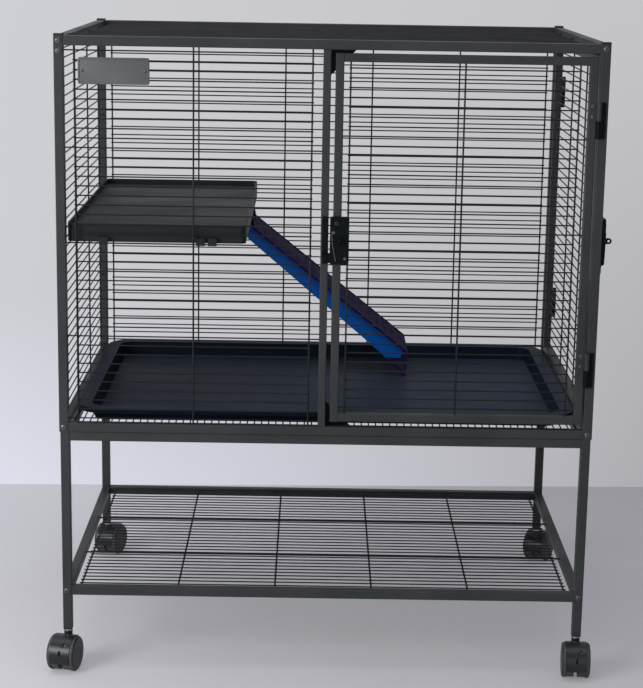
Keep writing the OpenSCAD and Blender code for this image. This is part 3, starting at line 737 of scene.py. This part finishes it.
class Facing(Enum):
    """Where a fixing's head points."""

    FRONT = Vector((0, -1, 0))
    RIGHT = Vector((1, 0, 0))

    def at(self, point: Point, turn: float = 0.0) -> Matrix:
        """The place of a fixing whose +Z points this way.

        Args:
            point: its seat.
            turn: its turn about its own axis, in radians.

        Returns:
            The matrix.
        """
        aim = self.value.to_track_quat("Z", "Y").to_matrix().to_4x4()
        return Matrix.Translation(point) @ aim @ Matrix.Rotation(turn, 4, "Z")


@dataclass
class Fixings:
    """Small screws and rivets, which share their meshes."""

    wardrobe: Wardrobe
    head: float = 3.1 * MM
    rise: float = 1.5 * MM
    rivet: float = 2.6 * MM
    rim_share: float = 0.3
    arc_steps: int = 6
    flats: int = 24
    arm_share: float = 0.62
    slot_share: float = 0.14
    recess_from: float = 0.4
    meshes: dict[str, bpy.types.Mesh] = field(default_factory=dict)

    def dome(self, radius: float, rise: float) -> bmesh.types.BMesh:
        """A low domed head with a thin rim.

        Args:
            radius: the head's radius.
            rise: the head's height.

        Returns:
            The closed shape.
        """
        rim = rise * self.rim_share
        arc = [(radius * math.cos(a), rim + (rise - rim) * math.sin(a))
               for a in (i * math.pi / 2 / self.arc_steps for i in range(self.arc_steps))]
        return lathe([(0, 0), (radius, 0), *arc, (0, rise)], self.flats)

    def screw_mesh(self) -> bpy.types.Mesh:
        """The cross-slotted screw head, made once.

        Returns:
            The mesh that all the screws share.
        """
        if "screw" not in self.meshes:
            shape = close_mesh("screw_head", self.dome(self.head, self.rise))
            arm, half = self.head * self.arm_share, self.head * self.slot_share
            corners = [(half, half), (half, arm), (-half, arm), (-half, half),
                       (-arm, half), (-arm, -half), (-half, -half), (-half, -arm),
                       (half, -arm), (half, -half), (arm, -half), (arm, half)]
            recess = slab(corners, self.rise)
            lift = (0, 0, self.rise * self.recess_from)
            bmesh.ops.translate(recess, verts=recess.verts, vec=lift)
            self.meshes["screw"] = cut(shape, close_mesh("recess", recess))
        return self.meshes["screw"]

    def rivet_mesh(self) -> bpy.types.Mesh:
        """The rivet head, made once.

        Returns:
            The mesh that all the rivets share.
        """
        if "rivet" not in self.meshes:
            self.meshes["rivet"] = close_mesh("rivet_head", self.dome(self.rivet, self.rise))
        return self.meshes["rivet"]

    def put(self, name: str, mesh: bpy.types.Mesh, where: Matrix, body: str, finish: Finish,
            slot: str) -> bpy.types.Object:
        """Seats one fixing.

        Args:
            name: its name.
            mesh: its mesh.
            where: its place.
            body: the body that it moves with.
            finish: its finish.
            slot: not used.

        Returns:
            The object.
        """
        piece = self.wardrobe.cover(add_piece(name, mesh, where), finish)
        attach(piece, body)
        return piece


# ----------------------------------------------------------------- assemblies

CORNERS = ("front_left", "front_right", "back_left", "back_right")


@dataclass
class Frame:
    """The stand, the cage's tubes and what closes their ends."""

    wardrobe: Wardrobe
    corners: tuple[str, ...] = CORNERS

    def build(self) -> None:
        """Dresses the tubes, caps and bolts."""
        tubes = [f"leg_{c}" for c in self.corners] + [f"post_{c}" for c in self.corners]
        tubes += ["stand_top_rails", "shelf_rails", "base_rails", "top_rails", "centre_post"]
        self.wardrobe.dress(tubes, Finish.FRAME)
        self.wardrobe.dress(("post_caps", "caster_sockets"), Finish.CAP)
        self.wardrobe.dress(("frame_bolts", "stand_bolts"), Finish.BOLT)
        self.wardrobe.dress(("door_stops",), Finish.BLACK_METAL)


@dataclass
class WirePanels:
    """The fixed wire panels and the two grilles."""

    wardrobe: Wardrobe

    def build(self) -> None:
        """Dresses the panels."""
        panels = ("front_wires", "back_wires", "left_wires", "roof_wires")
        grilles = ("floor_grille", "shelf_grille")
        self.wardrobe.dress(panels + grilles, Finish.WIRE)


@dataclass
class Doors:
    """Both doors with their hinges and latches."""

    wardrobe: Wardrobe
    fixings: Fixings
    hinge_rows: tuple[float, ...] = (0.976, 0.553)
    screw_rises: tuple[float, ...] = (0.0065, 0.0235)
    screw_inset: float = 7 * MM
    leaf: float = 1.5 * MM
    first_turn: float = 0.5
    turn_step: float = 0.7

    def build(self) -> None:
        """Dresses the doors and screws on their fittings."""
        for side in ("front", "side"):
            self.wardrobe.dress((f"{side}_door_frame", f"{side}_door_leaves"), Finish.FRAME)
            self.wardrobe.dress((f"{side}_door_wires",), Finish.WIRE)
            self.wardrobe.dress((f"{side}_latch_case", f"{side}_latch_turn"), Finish.BLACK_METAL)
        self.wardrobe.dress(("fixed_hinge_leaves", "latch_keepers"), Finish.BLACK_METAL)
        self.hinge_screws()

    def screw(self, name: str, where: Matrix, body: str) -> None:
        """Seats one hinge screw.

        Args:
            name: its name.
            where: its place.
            body: the body that it moves with.
        """
        self.fixings.put(name, self.fixings.screw_mesh(), where, body, Finish.BOLT, "bolt")
        LOG.info("seated %s", name)

    def hinge_screws(self) -> None:
        """Two screws in each door leaf."""
        front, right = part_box("front_door_frame"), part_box("side_door_frame")
        front_x, front_y = front[1].x - self.screw_inset, front[0].y - self.leaf
        side_x, side_y = right[1].x + self.leaf, right[1].y - self.screw_inset
        for i, row in enumerate(self.hinge_rows):
            for j, rise in enumerate(self.screw_rises):
                turn = self.first_turn + i + self.turn_step * j
                at_front = Facing.FRONT.at((front_x, front_y, row + rise), turn)
                at_side = Facing.RIGHT.at((side_x, side_y, row + rise), turn)
                self.screw(f"front_leaf_screw_{i}{j}", at_front, "front_door")
                self.screw(f"side_leaf_screw_{i}{j}", at_side, "side_door")


@dataclass
class LatchTrim:
    """Raised work on a latch case: an eyelet, rivets and the curved edge of its lever."""

    fixings: Fixings
    tab: float = 3.7 * MM
    eye: Spot = (0.33, 0.865)
    eye_out: float = 3.0 * MM
    eye_in: float = 1.7 * MM
    eye_flats: int = 28
    edge: tuple[Spot, ...] = ((0.11, 0.7), (0.1, 0.58), (0.15, 0.4), (0.22, 0.24), (0.31, 0.07))
    edge_wide: float = 1.5 * MM
    edge_bevel: float = 0.4 * MM
    rise: float = 1.2 * MM
    front_rivets: tuple[Spot, ...] = ((0.2, 0.67), (0.8, 0.12))
    side_rivets: tuple[Spot, ...] = ((0.2, 0.67), (0.2, 0.33), (0.3, 0.21))

    def eyelet(self) -> bpy.types.Mesh:
        """The raised ring.

        Returns:
            The mesh, about its own axis.
        """
        third = self.rise / 3
        profile = [(self.eye_in, 0), (self.eye_out, 0), (self.eye_out, third),
                   (self.eye_out - third, self.rise), (self.eye_in + third, self.rise),
                   (self.eye_in, third), (self.eye_in, 0)]
        return close_mesh("eyelet", lathe(profile, self.eye_flats))

    def lever_edge(self, wide: float, high: float) -> bpy.types.Mesh:
        """The curved rib.

        Args:
            wide: the case's width.
            high: the case's height.

        Returns:
            The mesh, with the case's lower left corner at its origin.
        """
        line = [Vector((u * wide, v * high)) for u, v in self.edge]
        half = self.edge_wide / 2
        sides = []
        for k, spot in enumerate(line):
            run = line[min(k + 1, len(line) - 1)] - line[max(k - 1, 0)]
            across = Vector((run.y, -run.x)).normalized() * half
            sides.append((spot - across, spot + across))
        outline = [tuple(a) for a, _ in sides] + [tuple(b) for _, b in reversed(sides)]
        return close_mesh("lever_edge", slab(outline, self.rise, self.edge_bevel))

    def seat(self, side: str, facing: Facing, rivets: Sequence[Spot]) -> None:
        """Puts the trim on one case.

        Args:
            side: front or side.
            facing: where the case faces.
            rivets: the rivets' places as shares of the case's width and height.
        """
        low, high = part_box(f"{side}_latch_case")
        front = facing is Facing.FRONT
        start, end = (low.x, high.x) if front else (low.y, high.y)
        start += self.tab
        wide, tall = end - start, high.z - low.z

        def spot(u: float, v: float) -> Point:
            """The point on the case's face at two shares of its size."""
            along, up = start + u * wide, low.z + v * tall
            return (along, low.y, up) if front else (high.x, along, up)

        def put(name: str, mesh: bpy.types.Mesh, share: Spot, finish: Finish) -> None:
            """Seats one piece of trim at two shares of the case's size."""
            self.fixings.put(f"{side}_{name}", mesh, facing.at(spot(*share)), f"{side}_door",
                             finish, "black_metal")

        for i, share in enumerate(rivets):
            put(f"case_rivet_{i}", self.fixings.rivet_mesh(), share, Finish.BLACK_METAL)
        # The eyelet and the lever's edge take the lighter bolt finish: a painted highlight on the
        # black case's raised edges.
        put("case_eyelet", self.eyelet(), self.eye, Finish.BOLT)
        put("lever_edge", self.lever_edge(wide, tall), (0.0, 0.0), Finish.BOLT)
        LOG.info("trimmed the %s latch case", side)

    def build(self) -> None:
        """Trims both cases."""
        self.seat("front", Facing.FRONT, self.front_rivets)
        self.seat("side", Facing.RIGHT, self.side_rivets)


@dataclass
class Furniture:
    """What stands inside the cage."""

    wardrobe: Wardrobe

    def build(self) -> None:
        """Dresses the platform, tray and ramp."""
        self.wardrobe.dress(("platform",), Finish.PLATFORM)
        self.wardrobe.dress(("tray", "tray_rim"), Finish.TRAY)
        self.wardrobe.dress(("ramp",), Finish.RAMP)
        self.wardrobe.dress(("ramp_side_panels",), Finish.RAMP_SIDE)


@dataclass
class Casters:
    """The four twin-wheel casters."""

    wardrobe: Wardrobe
    corners: tuple[str, ...] = CORNERS

    def build(self) -> None:
        """Dresses the hoods, wheels and pins."""
        for corner in self.corners:
            self.wardrobe.dress((f"hood_{corner}",), Finish.CASTER)
            self.wardrobe.dress((f"wheel_{corner}_a", f"wheel_{corner}_b"), Finish.TREAD)
            self.wardrobe.dress((f"pins_{corner}",), Finish.STEEL)


@dataclass
class BarePlate:
    """The plain plate hung on the front wires."""

    wardrobe: Wardrobe
    fixings: Fixings
    centre: Point = (-0.3585, -0.3025, 1.0445)
    wide: float = 0.118
    high: float = 0.044
    thick: float = 1.6 * MM
    corner: float = 4 * MM
    edge: float = 0.5 * MM
    border_cut: float = 3 * MM
    border_corner: float = 3.4 * MM
    border_rise: float = 0.7 * MM
    border_edge: float = 0.25 * MM
    inner_cut: float = 6 * MM
    inner_corner: float = 2.2 * MM
    cutter_tall: float = 3 * MM
    cutter_drop: float = 1 * MM
    rivet_inset: float = 7 * MM

    def outline(self, less: float, corner: float) -> list[Spot]:
        """The plate's outline made smaller.

        Args:
            less: how much the width and the height lose.
            corner: the corners' radius.

        Returns:
            The corners' points in order.
        """
        return rounded_corners(self.wide - less, self.high - less, corner)

    def border_mesh(self) -> bpy.types.Mesh:
        """The raised border, as an outer slab with an inner one cut out.

        Returns:
            The mesh, about the plate's centre.
        """
        outer = slab(self.outline(self.border_cut, self.border_corner), self.border_rise,
                     self.border_edge)
        inner = slab(self.outline(self.inner_cut, self.inner_corner), self.cutter_tall)
        bmesh.ops.translate(inner, verts=inner.verts, vec=(0, 0, -self.cutter_drop))
        return cut(close_mesh("border", outer), close_mesh("inner", inner))

    def build(self) -> None:
        """Makes the plate, its raised border and its two fixings."""
        where = Facing.FRONT.at(self.centre)
        shape = slab(self.outline(0.0, self.corner), self.thick, self.edge)
        plate = add_piece("bare_plate", close_mesh("bare_plate", shape), where)
        self.hold(plate, Finish.PLATE)
        on_top = where @ Matrix.Translation((0, 0, self.thick))
        raised = add_piece("plate_border", self.border_mesh(), on_top)
        self.hold(raised, Finish.PLATE)
        for i, side in enumerate((-1, 1)):
            aside = side * (self.wide / 2 - self.rivet_inset)
            spot = where @ Matrix.Translation((aside, 0, self.thick))
            self.fixings.put(f"plate_rivet_{i}", self.fixings.rivet_mesh(), spot, "cage",
                             Finish.BOLT, "bolt")
        LOG.info("hung the bare plate")

    def hold(self, piece: bpy.types.Object, finish: Finish) -> None:
        """Finishes a piece and fixes it to the cage.

        Args:
            piece: the piece.
            finish: what it gets.
        """
        self.wardrobe.cover(piece, finish)
        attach(piece, "cage")


# ------------------------------------------------------------------- the room

@dataclass(frozen=True)
class Lamp:
    """One soft oblong light."""

    name: str
    place: Point
    aim: Point
    size: Spot
    watts: float
    colour: Colour = (1.0, 1.0, 1.0)

    def build(self) -> None:
        """Hangs the light and points it at its aim."""
        data = bpy.data.lights.new(self.name, "AREA")
        data.shape = "RECTANGLE"
        data.size, data.size_y = self.size
        data.energy = self.watts
        data.color = self.colour
        lamp = bpy.data.objects.new(self.name, data)
        bpy.context.scene.collection.objects.link(lamp)
        lamp.location = self.place
        way = Vector(self.aim) - Vector(self.place)
        lamp.rotation_euler = way.to_track_quat("-Z", "Y").to_euler()


@dataclass
class Room:
    """The pale floor and wall, with painted light falloff and painted shadow, and the soft lights.
    """

    wall_y: float = 0.808
    wall_slant: float = 0.0356
    half: float = 6.0
    high: float = 5.0
    tone_edge: float = 0.8
    # The floor colours grade from lighter on the left to darker on the right: painted light
    # falloff and painted shadow.
    floor_left_painted_light: Colour = (0.72, 0.715, 0.75)
    floor_right_painted_shade: Colour = (0.58, 0.57, 0.60)
    glow_left_painted_light: Colour = (0.50, 0.49, 0.53)
    glow_right_painted_shade: Colour = (0.30, 0.295, 0.32)
    glow_front_painted_light: Colour = (0.50, 0.495, 0.52)
    glow_share: float = 0.46
    # The wall colours are brightest low on the left and darkest low on the right: painted light
    # and painted shadow.
    wall_low_left_painted_light: Colour = (0.74, 0.76, 0.86)
    wall_top_left_painted_light: Colour = (0.625, 0.63, 0.665)
    wall_low_right_painted_shadow: Colour = (0.41, 0.40, 0.425)
    wall_top_right_painted_shade: Colour = (0.55, 0.545, 0.56)
    sky: Colour = (0.92, 0.95, 1.0)
    sky_strength: float = 0.42
    lamps: tuple[Lamp, ...] = (
        Lamp("key", (-2.6, -2.6, 1.7), (0, 0, 0.5), (1.6, 1.6), 78.0, (1.0, 1.0, 0.99)),
        Lamp("window", (-0.8, -5.0, 1.3), (0, 0, 0.6), (3.2, 2.2), 26.0, (0.98, 0.99, 1.0)),
        Lamp("left_side", (-1.5, -1.25, 0.9), (-0.4, -0.3, 0.5), (0.8, 0.8), 4.5),
        Lamp("ceiling", (-0.4, -0.4, 3.4), (0, 0, 0.4), (2.6, 2.2), 40.0, (0.97, 0.98, 1.0)),
    )

    def seen(self, shade: Shade) -> Signal:
        """Tells what is looked at, itself or in a reflection, from light on its way.

        Args:
            shade: the material that asks.

        Returns:
            1 for what is looked at and 0 for light on its way.
        """
        ray = shade.node("ShaderNodeLightPath").outputs
        first = Signal(shade, ray["Is Camera Ray"]) + Signal(shade, ray["Is Glossy Ray"])
        return first.math("ADD", Signal(shade, ray["Is Transmission Ray"]), clamp=True)

    def across(self, shade: Shade) -> Signal:
        """How far a point is from the left edge of the view to the right, 0 to 1."""
        return shade.axis("X").ramp(-self.tone_edge, self.tone_edge)

    def floor_paint(self) -> bpy.types.Material:
        """The floor's pale paint, part of it seen at its own brightness, lighter on the left and
        darker on the right: a painted light falloff and a painted shadow of the cage.

        Returns:
            The material.
        """
        shade = Shade("floor_paint")
        drift = shade.noise(scale=0.9, detail=3.0).ramp(0.35, 0.7) * 0.25
        along = (self.across(shade) + drift).ramp(0.0, 1.1)
        # Painted light and shade: the floor's colour and glow darken from left to right and change
        # towards the front.
        colour = shade.mix(along, self.floor_left_painted_light, self.floor_right_painted_shade)
        glow = shade.mix(along, self.glow_left_painted_light, self.glow_right_painted_shade)
        glow = shade.mix(shade.axis("Y").ramp(-0.9, 0.1), self.glow_front_painted_light, glow)
        plain = shade.node("ShaderNodeBsdfPrincipled", {}, {
            "Base Color": colour, "Roughness": 0.9, "Specular IOR Level": 0.15})
        lit = shade.node("ShaderNodeEmission", {}, {"Color": glow, "Strength": 1.0})
        return shade.close(shade.blend(self.seen(shade) * self.glow_share, plain, lit))

    def wall_paint(self) -> bpy.types.Material:
        """The wall's paint, seen at its own brightness, with painted light from the left and a
        painted shadow low on the right, and clear from behind the wall.

        Returns:
            The material.
        """
        shade = Shade("wall_paint")
        drift = shade.noise(scale=1.3, detail=3.0).ramp(0.35, 0.7) * 0.05
        up = shade.axis("Z")
        # Painted light and shadow: brighter low on the left, darker low on the right.
        left = shade.mix(up.ramp(0.0, 0.45), self.wall_low_left_painted_light, self.wall_top_left_painted_light)
        right = shade.mix(up.ramp(0.0, 1.1), self.wall_low_right_painted_shadow, self.wall_top_right_painted_shade)
        colour = shade.mix((self.across(shade) + drift).ramp(0.0, 1.03), left, right)
        plain = shade.node("ShaderNodeBsdfDiffuse", {}, {"Color": self.wall_top_left_painted_light})
        lit = shade.node("ShaderNodeEmission", {}, {"Color": colour, "Strength": 1.0})
        paint = shade.blend(self.seen(shade), plain, lit)
        behind = shade.node("ShaderNodeNewGeometry").outputs["Backfacing"]
        clear = shade.node("ShaderNodeBsdfTransparent")
        return shade.close(shade.blend(behind, paint, clear))

    def sheet(self, name: str, corners: Sequence[Point], material: bpy.types.Material) -> None:
        """One flat sheet of the room.

        Args:
            name: its name.
            corners: its corners in order, seen from its front.
            material: its paint.
        """
        shape = bmesh.new()
        shape.faces.new([shape.verts.new(c) for c in corners])
        mesh = bpy.data.meshes.new(name)
        shape.to_mesh(mesh)
        shape.free()
        piece = add_piece(name, mesh)
        piece.data.materials.append(material)

    def set_sky(self) -> None:
        """Lights the scene from all round."""
        world = bpy.data.worlds.new("air")
        world.use_nodes = True
        background = world.node_tree.nodes["Background"].inputs
        background["Color"].default_value = (*self.sky, 1.0)
        background["Strength"].default_value = self.sky_strength
        bpy.context.scene.world = world

    def build(self) -> None:
        """Makes the room."""
        h, w, y = self.half, self.high, self.wall_y
        near, far = y - h * self.wall_slant, y + h * self.wall_slant
        ground = ((-h, -h, 0), (h, -h, 0), (h, h, 0), (-h, h, 0))
        upright = ((-h, near, 0), (h, far, 0), (h, far, w), (-h, near, w))
        self.sheet("floor", ground, self.floor_paint())
        self.sheet("wall", upright, self.wall_paint())
        for lamp in self.lamps:
            lamp.build()
        self.set_sky()
        bpy.context.scene.view_settings.view_transform = "Standard"
        LOG.info("built the room")


@dataclass
class Viewpoint:
    """The camera, solved from the frame's corners."""

    place: Point = (-0.025489, -3.285998, 1.255037)
    turn: Point = (77.447883, -0.9336917, -0.0932194)
    focal_px: float = 1800.67
    tall_px: float = 688.0
    sensor: float = 36.0
    farthest: float = 50.0

    def build(self) -> None:
        """Sets the camera."""
        data = bpy.data.cameras.new("view")
        data.sensor_width = self.sensor
        data.sensor_fit = "AUTO"
        data.lens = self.focal_px * self.sensor / self.tall_px
        data.clip_end = self.farthest
        eye = bpy.data.objects.new("view", data)
        bpy.context.scene.collection.objects.link(eye)
        eye.location = self.place
        eye.rotation_euler = tuple(math.radians(t) for t in self.turn)
        bpy.context.scene.camera = eye
        LOG.info("set the view")


def main() -> None:
    """Builds everything in order."""
    logging.basicConfig(level=logging.INFO, format="%(name)s: %(message)s")
    wardrobe = Wardrobe()
    fixings = Fixings(wardrobe)
    steps: Sequence[tuple[str, Callable[[], None]]] = (
        ("view", Viewpoint().build),
        ("room", Room().build),
        ("frame", Frame(wardrobe).build),
        ("wire panels", WirePanels(wardrobe).build),
        ("doors", Doors(wardrobe, fixings).build),
        ("latch trim", LatchTrim(fixings).build),
        ("furniture", Furniture(wardrobe).build),
        ("casters", Casters(wardrobe).build),
        ("bare plate", BarePlate(wardrobe, fixings).build),
    )
    for name, step in steps:
        step()
        LOG.info("finished the %s", name)


if __name__ == "__main__":
    main()
